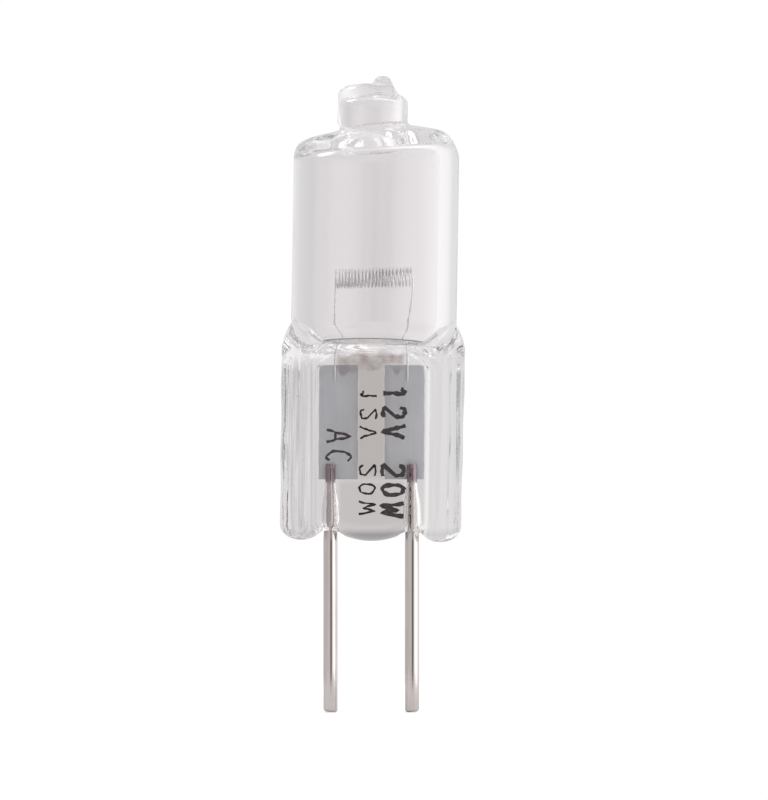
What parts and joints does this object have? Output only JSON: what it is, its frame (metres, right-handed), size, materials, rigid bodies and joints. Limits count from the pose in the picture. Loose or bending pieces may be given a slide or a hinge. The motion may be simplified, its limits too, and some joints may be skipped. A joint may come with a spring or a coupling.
{
  "type": "halogen capsule bulb",
  "caption": "Clear quartz capsule bulb with a coiled wire filament, a flat pinch seal and straight parallel base pins that push into a low-voltage holder.",
  "frame": {"origin": "midway between the base pins, on the seat plane where the lowest glass meets the holder", "axes": "+Z along the pins, up towards the sealed tip; X along the row of pins; the printed front faces -Y"},
  "size_m": [0.0091, 0.0082, 0.0312],
  "materials": {
    "quartz": "clear fused quartz, glossy",
    "tungsten": "drawn grey wire",
    "foil_metal": "matte grey rolled foil",
    "pin_metal": "bright drawn wire with a warm grey tint"
  },
  "bodies": {
    "root": {"quartz_envelope": "quartz", "filament": "tungsten", "foil_left": "foil_metal", "foil_right": "foil_metal", "pin_left": "pin_metal", "pin_right": "pin_metal"}
  },
  "joints": []
}
